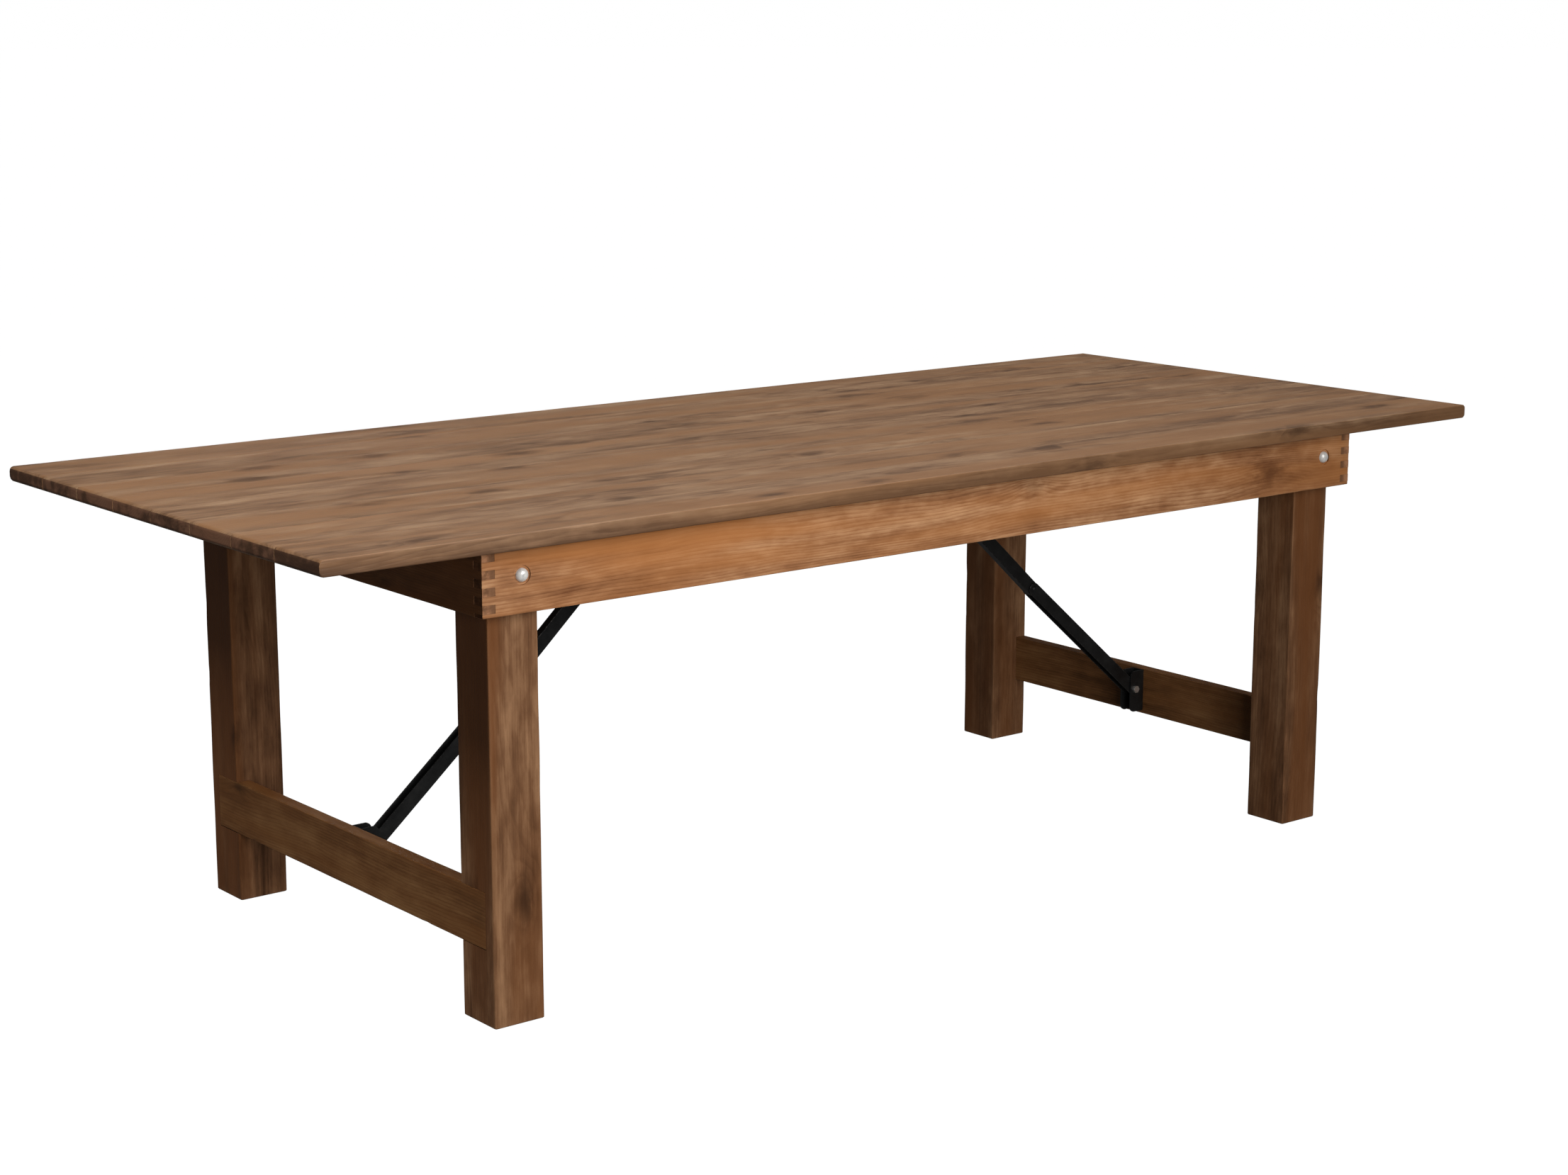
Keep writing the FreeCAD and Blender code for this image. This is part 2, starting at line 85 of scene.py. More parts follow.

# Stain on each kind of timber, where it is dark, middling, light and flushed; the end aprons' side grain is
# drawn darker as painted shade
STAINS = {
    "top": ((0.08, 0.039, 0.019), (0.196, 0.107, 0.056), (0.315, 0.195, 0.11), (0.235, 0.116, 0.051)),
    "apron": ((0.12, 0.043, 0.017), (0.31, 0.141, 0.062), (0.56, 0.315, 0.16), (0.4, 0.155, 0.047)),
    "end_apron": ((0.055, 0.022, 0.007), (0.13, 0.05, 0.016), (0.2, 0.09, 0.033), (0.13, 0.045, 0.012)),
    "leg": ((0.05, 0.021, 0.009), (0.152, 0.07, 0.032), (0.3, 0.16, 0.08), (0.15, 0.055, 0.018)),
    "stretcher": ((0.07, 0.029, 0.01), (0.165, 0.07, 0.024), (0.255, 0.125, 0.048), (0.17, 0.065, 0.019)),
}
TOP_END, FINGER_END = (0.115, 0.054, 0.032), (0.42, 0.2, 0.1)  # stain on end grain


# ---------------------------------------------------------------- node materials


class Shader:
    """A material with short calls for the kinds of node used here."""

    def __init__(self, name, **sockets):
        self.material = bpy.data.materials.new(name)
        self.material.use_nodes = True
        self.tree = self.material.node_tree
        self.surface = self.tree.nodes["Principled BSDF"]
        for key, value in sockets.items():
            self.surface.inputs[key.replace("_", " ")].default_value = value

    def put(self, socket, value):
        """Links or sets a socket."""
        if isinstance(value, bpy.types.NodeSocket):
            self.tree.links.new(value, socket)
        else:
            socket.default_value = value

    def node(self, kind, inputs, **settings):
        made = self.tree.nodes.new("ShaderNode" + kind)
        for key, value in settings.items():
            setattr(made, key, value)
        for key, value in inputs.items():
            self.put(made.inputs[key], value)
        return made

    def attribute(self, name):
        return self.node("Attribute", {}, attribute_name=name)

    def maths(self, operation, *values):
        return self.node("Math", dict(enumerate(values)), operation=operation).outputs[0]

    def vector(self, operation, *values):
        made = self.node("VectorMath", dict(enumerate(values)), operation=operation)
        return made.outputs["Value" if operation == "LENGTH" else "Vector"]

    def noise(self, where, scale, detail=2.0, roughness=0.5):
        """Noise at so many periods a metre along, across and through the timber."""
        inputs = {"Vector": self.vector("MULTIPLY", where, scale), "Scale": 1.0}
        inputs.update({"Detail": detail, "Roughness": roughness})
        return self.node("TexNoise", inputs).outputs

    def span(self, value, low, high, start=0.0, end=1.0):
        """value's way from low to high, eased, as a number from start to end."""
        inputs = {0: value, 1: low, 2: high, 3: start, 4: end}
        return self.node("MapRange", inputs, interpolation_type="SMOOTHSTEP").outputs[0]

    def mix(self, share, first, second):
        return self.node("Mix", {0: share, 6: first, 7: second}, data_type="RGBA").outputs[2]

    def ramp(self, value, *stops):
        made = self.node("ValToRGB", {0: value})
        elements = made.color_ramp.elements
        while len(elements) < len(stops):
            elements.new(0.5)
        for element, (position, colour) in zip(elements, stops):
            element.position = position
            element.color = colour
        return made.outputs[0]

    def weighted(self, base, *terms):
        """base plus each share of how far its value is above one half."""
        total = base
        for value, share in terms:
            above = self.maths("MULTIPLY_ADD", value, share, -0.5 * share)
            total = self.maths("ADD", total, above)
        return total

    def dress(self, colour, roughness, height, depth, strength):
        """Puts colour, roughness and bump on the surface, and hands over the material."""
        self.put(self.surface.inputs["Base Color"], colour)
        self.put(self.surface.inputs["Roughness"], roughness)
        bump = self.node("Bump", {"Strength": strength, "Distance": depth, "Height": height})
        self.put(self.surface.inputs["Normal"], bump.outputs[0])
        return self.material


def grey(value):
    """A colour as the nodes take it."""
    return (value, value, value, 1.0)


def tint(red, green, blue, gain=1.0):
    """A colour as the nodes take it, made lighter or darker by the gain."""
    return (red * gain, green * gain, blue * gain, 1.0)


def knot_field(g, grain, size, share):
    """Distance from the nearest knot's heart, in knot radii, and whether there is a knot.

    Across and through are added up, so that knots come out round on every face that runs along the grain.
    """
    wobble = g.vector("SUBTRACT", g.noise(grain, (22.0, 60.0, 60.0), 2.0)[1], (0.5, 0.5, 0.5))
    where = g.vector("ADD", grain, g.vector("MULTIPLY", wobble, (0.03, 0.006, 0.006)))
    parts = g.node("SeparateXYZ", {0: where}).outputs
    flat = g.node("CombineXYZ", {0: parts[0], 1: g.maths("ADD", parts[1], parts[2])}).outputs[0]
    scaled = g.vector("MULTIPLY", flat, KNOT_CELLS)
    cells = g.node("TexVoronoi", {"Vector": scaled, "Scale": 1.0}, voronoi_dimensions="2D")
    split = g.node("SeparateColor", {0: cells.outputs["Color"]})
    present = g.maths("GREATER_THAN", split.outputs[0], 1.0 - share)
    radius = g.maths("MULTIPLY_ADD", split.outputs[1], 0.6 * size, 0.5 * size)
    return g.maths("DIVIDE", cells.outputs["Distance"], radius), present


def late_wood(g, grain, distance, present):
    """How far each place is into a growth ring's dark late wood.

    The rings lie round the pith and bend at knots.
    """
    drift = g.vector("SUBTRACT", g.noise(grain, (1.3, 5.0, 5.0), 2.0)[1], (0.5, 0.5, 0.5))
    ripple = g.vector("SUBTRACT", g.noise(grain, (7.0, 24.0, 24.0), 1.0)[1], (0.5, 0.5, 0.5))
    bent = g.vector("ADD", grain, g.vector("MULTIPLY", drift, (0.0, 0.09, 0.09)))
    bent = g.vector("ADD", bent, g.vector("MULTIPLY", ripple, (0.0, 0.008, 0.008)))
    radius = g.vector("LENGTH", g.vector("MULTIPLY", bent, (0.0, 1.0, 1.0)))
    swirl = g.maths("MULTIPLY", present, g.span(distance, 0.0, 4.5, 0.011, 0.0))
    turn = g.maths("FRACT", g.maths("DIVIDE", g.maths("ADD", radius, swirl), RING))
    return g.ramp(turn, (0.0, grey(0.0)), (0.45, grey(0.2)), (0.86, grey(1.0)), (1.0, grey(0.0)))


def sawn_ends(g, cut, late, blotch, inner_half):
    """End grain with its rings, blotches of stain, and its inner side drawn darker."""
    sawn = g.mix(g.maths("MULTIPLY", late, 0.3), tint(*cut), tint(*cut, gain=0.6))
    sawn = g.mix(g.span(blotch, -0.12, 0.1, 0.9, 0.0), sawn, tint(*cut, gain=0.25))
    return g.mix(g.span(inner_half, 0.3, 0.8, 0.0, 0.8), sawn, tint(*cut, gain=0.3))


def wood(name, stain, cut=None, size=0.1, share=0.4, figure=0.2, rub=0.3, gloss=0.5, shine=0.12):
    """Stained pine: growth rings round a pith, streaks, fibres, knots, stains, arrises lightened partly as
    wear and partly as painted highlight, and end grain.

    cut is the stain on end grain. size and share are those of knots, figure is how much the rings show,
    and rub is how much lighter the arrises are drawn, partly as wear and partly as painted highlight.
    """
    dark, mid, light, blush = (tint(*shade) for shade in STAINS[stain])
    g = Shader(name, Specular_IOR_Level=shine)
    grain = g.attribute("grain").outputs["Vector"]
    worn, end, tone, inner_half = (g.attribute(key).outputs["Fac"] for key in ("worn", "end", "tone", "inner_half"))
    distance, present = knot_field(g, grain, size, share)
    late = late_wood(g, grain, distance, present)

    streak = g.noise(grain, (1.6, 38.0, 38.0), 5.0, 0.62)[0]
    thread = g.noise(grain, (5.0, 170.0, 170.0), 3.0, 0.6)[0]
    fibre = g.noise(grain, (14.0, 620.0, 620.0), 2.0)[0]
    patch = g.noise(grain, (3.0, 9.0, 9.0), 4.0, 0.6)[0]
    mottle = g.noise(grain, (16.0, 48.0, 48.0), 4.0, 0.6)[0]
    cloud = g.noise(grain, (1.1, 14.0, 14.0), 2.0, 0.5)[0]
    shade = g.weighted(0.5, (late, -figure), (streak, 1.0), (thread, 0.4), (fibre, 0.35), (patch, 1.25))
    shade = g.maths("ADD", g.weighted(shade, (mottle, 0.9)), tone)
    colour = g.ramp(shade, (0.05, dark), (0.5, mid), (0.95, light))
    colour = g.mix(g.span(cloud, 0.42, 0.66, 0.0, 0.8), colour, blush)

    knot = g.maths("MULTIPLY", present, g.span(distance, 0.1, 1.5, 1.0, 0.0))
    halo = g.maths("MULTIPLY", present, g.span(distance, 0.5, 3.2, 1.0, 0.0))
    colour = g.mix(g.maths("MULTIPLY", halo, g.span(mottle, 0.36, 0.64, 0.75, 0.1)), colour, dark)
    colour = g.mix(g.maths("MULTIPLY", knot, 0.3), colour, tint(*dark[:3], gain=0.5))
    # arrises drawn lighter: partly wear, partly painted highlight
    highlit_and_worn = g.maths("MULTIPLY", worn, g.span(streak, 0.36, 0.64, 0.0, rub))
    colour = g.mix(highlit_and_worn, colour, light)
    blotch = g.weighted(tone, (patch, 1.0), (mottle, 0.7))
    sawn = sawn_ends(g, cut or dark[:3], late, blotch, inner_half)
    colour = g.mix(g.maths("MULTIPLY", end, 0.9), colour, sawn)

    roughness = g.weighted(gloss, (streak, 0.18), (patch, 0.2), (fibre, 0.12))
    roughness = g.maths("ADD", roughness, g.maths("MULTIPLY", end, 0.18))
    height = g.weighted(0.5, (fibre, 0.8), (late, -0.45), (streak, 0.5))
    height = g.maths("SUBTRACT", height, g.maths("MULTIPLY", knot, 0.5))
    return g.dress(colour, roughness, height, 0.0006, 0.32)


def black_steel():
    """Black powder coat with its fine orange peel, dust, and bare steel where the edges rub."""
    g = Shader("black_powder_coat", Specular_IOR_Level=0.35)
    where = g.node("TexCoord", {}).outputs["Object"]
    worn = g.attribute("worn").outputs["Fac"]
    peel = g.noise(where, (650.0,) * 3, 2.0)[0]
    dust = g.noise(where, (38.0,) * 3, 4.0, 0.65)[0]
    rub = g.noise(where, (210.0,) * 3, 3.0, 0.6)[0]
    bare = g.maths("MULTIPLY", worn, g.span(rub, 0.5, 0.62))
    colour = g.ramp(dust, (0.35, grey(0.005)), (0.6, grey(0.009)), (0.9, tint(0.018, 0.017, 0.015)))
    colour = g.mix(g.maths("MULTIPLY", bare, 0.6), colour, tint(0.13, 0.12, 0.11))
    roughness = g.weighted(0.42, (peel, 0.15), (dust, 0.3))
    g.put(g.surface.inputs["Metallic"], g.maths("MULTIPLY", bare, 0.8))
    return g.dress(colour, roughness, peel, 0.0003, 0.3)


def zinc_steel(name, metallic):
    """Zinc plating: bright grey spangle, finger marks and darker patches."""
    g = Shader(name, Metallic=metallic)
    where = g.node("TexCoord", {}).outputs["Object"]
    smear = g.noise(where, (120.0,) * 3, 3.0, 0.6)[0]
    fine = g.noise(where, (900.0,) * 3, 2.0)[0]
    pale, bright = tint(0.8, 0.78, 0.74), tint(0.9, 0.87, 0.82)
    colour = g.ramp(smear, (0.25, grey(0.55)), (0.5, pale), (0.8, bright))
    roughness = g.weighted(0.38, (smear, 0.3), (fine, 0.12))
    return g.dress(colour, roughness, fine, 0.0001, 0.2)


def nylon():
    """Black nylon with a moulded sheen."""
    g = Shader("black_nylon", Specular_IOR_Level=0.4)
    where = g.node("TexCoord", {}).outputs["Object"]
    mould = g.noise(where, (420.0,) * 3, 2.0)[0]
    colour = g.ramp(mould, (0.3, grey(0.018)), (0.7, grey(0.035)))
    return g.dress(colour, g.weighted(0.5, (mould, 0.2)), mould, 0.0002, 0.2)


# ---------------------------------------------------------------- timber


def chance(*key):
    """A generator of repeatable random numbers for one piece."""
    return random.Random("-".join(map(str, key)))


def dents(rng, half_length):
    """Knocks on the four arrises, each as corner, place, depth and reach."""
    spans = ((-half_length, half_length), KNOCK_DEPTH, KNOCK_REACH)
    return [(rng.randrange(4), *(rng.uniform(*s) for s in spans)) for _ in range(int(half_length * KNOCKS))]


def section(across, depth, radii):
    """A rounded rectangle as (across, depth) points, with a point beside each arris on either face."""
    points = []
    shoulder = min(SHOULDER, NARROW * across, NARROW * depth)
    for k, (sv, sw) in enumerate(((1, 1), (-1, 1), (-1, -1), (1, -1))):
        r = min(radii[k], ROUNDEST * across, ROUNDEST * depth)
        middle = Vector((sv * (across - r), sw * (depth - r)))
        turns = [radians(90 * (k + i / ARC)) for i in range(ARC + 1)]
        arc = [middle + r * Vector((cos(a), sin(a))) for a in turns]
        before = arc[0] - shoulder * Vector((-sin(turns[0]), cos(turns[0])))
        after = arc[-1] + shoulder * Vector((-sin(turns[-1]), cos(turns[-1])))
        points += [before, *arc, after]
    return points


def end_stations(half_length, rounding):
    """The rings that round off an end, from its face inwards, as distance from the middle and inset."""
    turns = [radians(a) for a in (90, 60, 30, 0)]
    return [(half_length - rounding * (1 - sin(a)), rounding * (1 - cos(a))) for a in turns]


def worn_radii(radii, u, knocks, offset):
    """The radii of the four arrises at one place along a timber, with their wander and knocks."""
    worn = []
    for corner, r in enumerate(radii):
        wander = noise.noise(Vector((u * WANDER_RATE, corner * WANDER_STEP, offset)))
        press = sum(d * BELL ** -(((u - p) / reach) ** 2) for c, p, d, reach in knocks if c == corner)
        worn.append(max(SHARPEST, r * (1 + WANDER * wander) + press))
    return worn


def skin(bm, rings):
    """Faces between closed rings of points, and over the first and last ring."""
    for first, second in zip(rings, rings[1:]):
        for k in range(len(first)):
            bm.faces.new((first[k - 1], first[k], second[k], second[k - 1]))
    bm.faces.new(rings[0])
    bm.faces.new(rings[-1])
    bmesh.ops.recalc_face_normals(bm, faces=bm.faces)
    return bm


def plank(lo, hi, grain, radii, rounding=0.0015, spread=1.0, seed="", narrowing=None):
    """A mesh of timber between two corners: rings along its grain, with worn arrises and rounded ends.

    spread makes the ends rounder across the timber than through it. narrowing gives half its width
    at a distance from its middle.
    """
    along, across, through = GRAIN[grain]
    middle, half = (lo + hi) / 2, (hi - lo) / 2
    knocks = dents(chance("dents", seed), half[along])
    offset = chance("arris", seed).uniform(0, 90)
    end = end_stations(half[along], rounding)
    count = max(2, round(2 * (half[along] - rounding) / STATION))
    straight = [(half[along] - rounding) * (2 * k / count - 1) for k in range(1, count)]
    if narrowing:
        straight = [u for u in straight if u < narrowing.start] + narrowing.places
    stations = [(-u, i) for u, i in end] + [(u, 0.0) for u in straight] + [(u, i) for u, i in reversed(end)]
    if narrowing:
        stations = stations[: -len(end)]
    bm = bmesh.new()
    rings = []
    for u, inset in stations:
        wide = narrowing.half_width(u) if narrowing else half[across]
        worn = worn_radii(radii, u, knocks, offset)
        ring = []
        for v, w in section(wide - inset * spread, half[through] - inset, worn):
            place = Vector(middle)
            place[along] += u
            place[across] += v
            place[through] += w
            ring.append(bm.verts.new(place))
        rings.append(ring)
    return skin(bm, rings)


class RoundTop:
    """How a leg narrows to its half-round top."""

    def __init__(self, half_length, radius):
        self.start = half_length - radius
        self.radius = radius
        self.places = [self.start + radius * sin(radians(a)) for a in range(0, 86, 5)]

    def half_width(self, u):
        rise = max(0.0, u - self.start)
        return sqrt(max(self.radius**2 - rise**2, 1e-6))


def prism(outline, axis, start, end):
    """A cutter: an outline of (b, c) points pushed along one coordinate, b and c being the other two."""
    b, c = [k for k in range(3) if k != axis]
    bm = bmesh.new()
    rings = []
    for level in (start, end):
        ring = []
        for p, q in outline:
            place = Vector((0, 0, 0))
            place[axis], place[b], place[c] = level, p, q
            ring.append(bm.verts.new(place))
        rings.append(ring)
    return skin(bm, rings)


def rectangle(low, high):
    return [(low[0], low[1]), (high[0], low[1]), (high[0], high[1]), (low[0], high[1])]


def circle(middle, radius, count=40):
    turns = (2 * pi * k / count for k in range(count))
    return [(middle[0] + radius * cos(t), middle[1] + radius * sin(t)) for t in turns]


def as_object(name, bm):
    """An object of a bmesh, which is used up."""
    mesh = bpy.data.meshes.new(name)
    bm.to_mesh(mesh)
    bm.free()
    made = bpy.data.objects.new(name, mesh)
    bpy.context.scene.collection.objects.link(made)
    return made


def join(*meshes):
    """One bmesh with everything in the given ones."""
    whole = bmesh.new()
    for bm in meshes:
        held = bpy.data.meshes.new("held")
        bm.to_mesh(held)
        bm.free()
        whole.from_mesh(held)
        bpy.data.meshes.remove(held)
    return whole


def carve(piece, cutters):
    """Takes the cutters out of the piece."""
    if not cutters:
        return
    tool = as_object("cutter", join(*cutters))
    cut = piece.modifiers.new("cut", "BOOLEAN")
    cut.operation, cut.solver, cut.object = "DIFFERENCE", "EXACT", tool
    graph = bpy.context.evaluated_depsgraph_get()
    mesh = bpy.data.meshes.new_from_object(piece.evaluated_get(graph))
    piece.modifiers.clear()
    piece.data = mesh
    bpy.data.objects.remove(tool)


def smooth(piece):
    """Shades the piece smooth between its sharp edges."""
    piece.data.shade_smooth()
    piece.data.set_sharp_from_angle(angle=radians(38))
    weighted = piece.modifiers.new("weighted_normals", "WEIGHTED_NORMAL")
    weighted.keep_sharp = True


def write(piece, name, kind, domain, values):
    """Keeps a value for each point or face of the piece, for its material to read."""
    layer = piece.data.attributes.new(name, kind, domain)
    layer.data.foreach_set("vector" if kind == "FLOAT_VECTOR" else "value", values)


def painted_edge_shade(p, half, shaded_side):
    """Painted shade: how much darker a point is drawn for lying on the shaded outer side of its timber, more
    so towards its foot.
    """
    return SHADED_EDGE_DARK * (0.5 - p.z / (2 * half.z)) if shaded_side * p.y > half.y - SHADED_EDGE_DEPTH else 0.0


def mark(piece, grain, lo, hi, seed, pith, inside, shaded_side):
    """Writes where each point lies in its timber, its nearness to an arris for wear and painted highlight,
    the end grain and the piece's own tone, with painted shade on the top's long outer edges.

    inside is the direction to the side of the end grain that is drawn darker. The last argument is the side
    in Y, if any, whose outer edge face is painted darker towards its foot, as painted shade.
    """
    along, across, through = GRAIN[grain]
    middle, half = (lo + hi) / 2, (hi - lo) / 2
    rng = chance("wood", seed)
    shift = Vector((rng.uniform(0, 40), pith[0], pith[1]))
    tone = rng.uniform(-TONE, TONE)
    local = [vertex.co - middle for vertex in piece.data.vertices]
    inner = [sorted(half[i] - abs(p[i]) for i in range(3)) for p in local]
    grains = [x for p in local for x in Vector((p[along], p[across], p[through])) + shift]
    # nearness to an arris, where the wood is drawn lighter as wear and painted highlight
    highlit_and_worn_arris = [max(0.0, 1.0 - sqrt(d[0] ** 2 + d[1] ** 2) / SHOULDER) for d in inner]
    ends = [1.0 if abs(face.normal[along]) > 0.8 else 0.0 for face in piece.data.polygons]
    write(piece, "grain", "FLOAT_VECTOR", "POINT", grains)
    write(piece, "worn", "FLOAT", "POINT", highlit_and_worn_arris)
    # tone: the piece's random tone, less painted shade towards the foot of the top's long outer edge faces
    write(piece, "tone", "FLOAT", "POINT", [tone - painted_edge_shade(p, half, shaded_side) for p in local])
    # the half of the piece towards the table's inside, where its end grain is drawn darker
    write(piece, "inner_half", "FLOAT", "POINT", [1.0 if p.dot(inside) > 0 else 0.0 for p in local])
    write(piece, "end", "FLOAT", "FACE", ends)


def place_piece(piece, node, material):
    """Puts a finished piece in the place of its CAD node."""
    piece.data.materials.clear()
    piece.data.materials.append(material)
    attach(piece, BODY_OF[node])
    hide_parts(node)


def timber(
    node, grain, material, radii, cutters=(), swell=(0.0, 0.0), inside=(0, 0, 0), shaded_side=0, **shape
):
    """A timber piece in the place of a CAD node, swollen a little to its low and high Y."""
    lo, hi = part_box(node)
    lo.y -= swell[0]
    hi.y += swell[1]
    piece = as_object(node + "_timber", plank(lo, hi, grain, radii, seed=node, **shape))
    carve(piece, cutters)
    rng = chance("pith", node)
    pith = (rng.uniform(-0.045, 0.045), rng.choice((-1, 1)) * rng.uniform(0.05, 0.11))
    mark(piece, grain, lo, hi, node, pith, Vector(inside), shaded_side)
    smooth(piece)
    place_piece(piece, node, material)


def table_top(material):
    """Eight boards side by side, the outer ones with a rounded outer edge, all with rounded ends."""
    between, outer = 0.0006, 0.002
    for k in range(1, BOARDS + 1):
        low, high = outer if k == 1 else between, outer if k == BOARDS else between
        # the outer boards get painted shade, darker towards the foot of their outer edge face
        timber(
            f"top_board_{k}", "X", material, [high, low, low, high], rounding=0.007, spread=0.15,
            swell=(0.0 if k == 1 else SEAM, 0.0 if k == BOARDS else SEAM), shaded_side=(k == BOARDS) - (k == 1),
        )


def fingers(lo, hi):
    """Levels of a short apron's fingers, as low and high ones."""
    step = (hi.z - lo.z) / (2 * FINGERS)
    return [(lo.z + (2 * k + 0.5) * step, lo.z + (2 * k + 1.5) * step) for k in range(FINGERS)]


def past(side):
    """How far a cutter goes past a crossing timber to low and high X: out of the table, or a joint's fit."""
    return (OVERSHOOT, FIT) if side == "left" else (FIT, OVERSHOOT)


def long_aprons(material):
    """Front and back aprons, with sockets for the fingers and a recess round each pivot bolt."""
    for end, outer in (("front", -1), ("back", 1)):
        node = f"apron_{end}"
        lo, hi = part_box(node)
        face = lo.y if outer < 0 else hi.y
        cutters = []
        for side in SIDES:
            short_lo, short_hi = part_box(f"apron_{side}")
            out = past(side)
            outline = rectangle(
                (short_lo.x - out[0], lo.y - OVERSHOOT), (short_hi.x + out[1], hi.y + OVERSHOOT)
            )
            for low, high in fingers(lo, hi):
                cutters.append(prism(outline, 2, low - FIT, high + FIT))
            bolt_lo, bolt_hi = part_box(f"pivot_bolt_{end}_{side}")
            middle = ((bolt_lo.x + bolt_hi.x) / 2, (bolt_lo.z + bolt_hi.z) / 2)
            levels = face - outer * RECESS_DEPTH, face + outer * OVERSHOOT
            cutters.append(prism(circle(middle, RECESS_RADIUS), 1, *levels))
        timber(node, "X", material, [0.0016] * 4, cutters)


def short_aprons(material):
    """End aprons, cut to fingers whose end grain shows through the long ones."""
    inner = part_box("apron_front")[1].y
    for side, inside in (("left", (1, 0, 0)), ("right", (-1, 0, 0))):
        node = f"apron_{side}"
        lo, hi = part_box(node)
        levels = [lo.z - OVERSHOOT, *(z for pair in fingers(lo, hi) for z in pair), hi.z + OVERSHOOT]
        cutters = []
        for start, end in ((lo.y - OVERSHOOT, inner + FIT), (-inner - FIT, hi.y + OVERSHOOT)):
            outline = rectangle((lo.x - OVERSHOOT, start), (hi.x + OVERSHOOT, end))
            cutters += [prism(outline, 2, *pair) for pair in zip(levels[::2], levels[1::2])]
        timber(node, "Y", material, [0.0012] * 4, cutters, inside=inside, rounding=0.0005)


def legs(material):
    """Four legs with half-round tops, each with the housing for its stretcher."""
    for side in SIDES:
        bar_lo, bar_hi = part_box(f"stretcher_{side}")
        out = past(side)
        outline = rectangle((bar_lo.x - out[0], bar_lo.y - FIT), (bar_hi.x + out[1], bar_hi.y + FIT))
        for end in ("front", "back"):
            node = f"leg_{end}_{side}"
            lo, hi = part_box(node)
            cutter = prism(outline, 2, bar_lo.z - FIT, bar_hi.z + FIT)
            top = RoundTop((hi.z - lo.z) / 2, (hi.x - lo.x) / 2)
            timber(node, "Z", material, [0.0028] * 4, [cutter], narrowing=top, rounding=0.002)


def stretchers(material):
    """The bars between the legs of each end."""
    for side in SIDES:
        timber(f"stretcher_{side}", "Y", material, [0.0014] * 4, rounding=0.0008)


def battens(material):
    """The cross battens under the boards."""
    for side in SIDES:
        timber(f"cross_batten_{side}", "Y", material, [0.002] * 4, rounding=0.002)


# ---------------------------------------------------------------- metal


def refined(node, edge, material, cutters=(), segments=2):
    """A metal or plastic piece with the CAD node's shape and eased edges, on which its wear is marked."""
    bm = bmesh.new()
    bm.from_mesh(frame["nodes"][node].data)
    bmesh.ops.remove_doubles(bm, verts=bm.verts, dist=2e-5)
    bmesh.ops.dissolve_limit(bm, angle_limit=radians(1), verts=bm.verts, edges=bm.edges)
    piece = as_object(node + "_piece", bm)
    carve(piece, cutters)
    bm = bmesh.new()
    bm.from_mesh(piece.data)
    layer = bm.faces.layers.float.new("worn")
    sharp = [e for e in bm.edges if len(e.link_faces) == 2 and e.calc_face_angle(0) > radians(42)]
    eased = bmesh.ops.bevel(
        bm, geom=sharp, offset=edge, segments=segments, profile=0.5, affect="EDGES", clamp_overlap=True
    )
    for face in eased["faces"]:
        face[layer] = 1.0
    bm.to_mesh(piece.data)
    bm.free()
    smooth(piece)
    place_piece(piece, node, material)


def cross(middle, reach, width):
    """The outline of a cross-head drive."""
    corners = []
    for turn in range(4):
        c, s = round(cos(turn * pi / 2)), round(sin(turn * pi / 2))
        for p, q in ((width, -width), (reach, -width), (reach, width)):
            corners.append((middle[0] + c * p - s * q, middle[1] + s * p + c * q))
    return corners


def screws(node, axis, facing, spots, material):
    """The screws of a node, with cross-head drives at their spots.

    Their heads face down or up the coordinate, as facing is -1 or 1.
    """
    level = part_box(node)[0 if facing < 0 else 1][axis]
    ends = level + facing * OVERSHOOT, level - facing * DRIVE_DEPTH
    drives = [prism(cross(spot, DRIVE_REACH, DRIVE_WIDTH), axis, *ends) for spot in spots]
    refined(node, 0.00015, material, drives)


def screw_sets(black, zinc):
    """Screws of the battens and the brackets."""
    head = SCREW_HEAD
    for side, inward in (("left", 1), ("right", -1)):
        lo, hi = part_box(f"upper_bracket_screws_{side}")
        spots = [(x, y) for x in (lo.x + head, hi.x - head) for y in (lo.y + head, hi.y - head)]
        screws(f"upper_bracket_screws_{side}", 2, -1, spots, black)
        lo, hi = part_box(f"lower_bracket_screws_{side}")
        screws(f"lower_bracket_screws_{side}", 0, inward, [(0, lo.z + head), (0, hi.z - head)], black)
        lo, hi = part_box(f"batten_screws_{side}")
        spots = []
        for k in range(1, BOARDS + 1):
            board_lo, board_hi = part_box(f"top_board_{k}")
            y = min(max((board_lo.y + board_hi.y) / 2, lo.y + head), hi.y - head)
            spots += [(lo.x + head, y), (hi.x - head, y)]
        screws(f"batten_screws_{side}", 2, -1, spots, zinc)


def pivots(zinc, plastic):
    """Bolts that the legs turn on, with their nuts, washers and spacers."""
    for side in SIDES:
        for node in ("pivot_bolt_front", "pivot_bolt_back", "pivot_nuts"):
            refined(f"{node}_{side}", 0.0004, zinc)
        refined(f"pivot_washers_{side}", 0.0002, zinc)
        refined(f"leg_spacers_{side}", 0.0003, plastic)


def braces(black, zinc):
    """Brackets, arms, pins and rivets of the folding braces."""
    for side in SIDES:
        for node in ("upper_bracket", "lower_bracket"):
            refined(f"{node}_{side}", 0.0006, black, segments=3)
        for node in ("upper_arm", "lower_bar_front", "lower_bar_back"):
            refined(f"{node}_{side}", 0.0008, black, segments=3)
        for node in ("upper_pin", "elbow_rivets"):
            refined(f"{node}_{side}", 0.0003, black)
        # the lower pin takes the darker copy of the zinc, as painted shade
        refined(f"lower_pin_{side}", 0.0003, zinc)


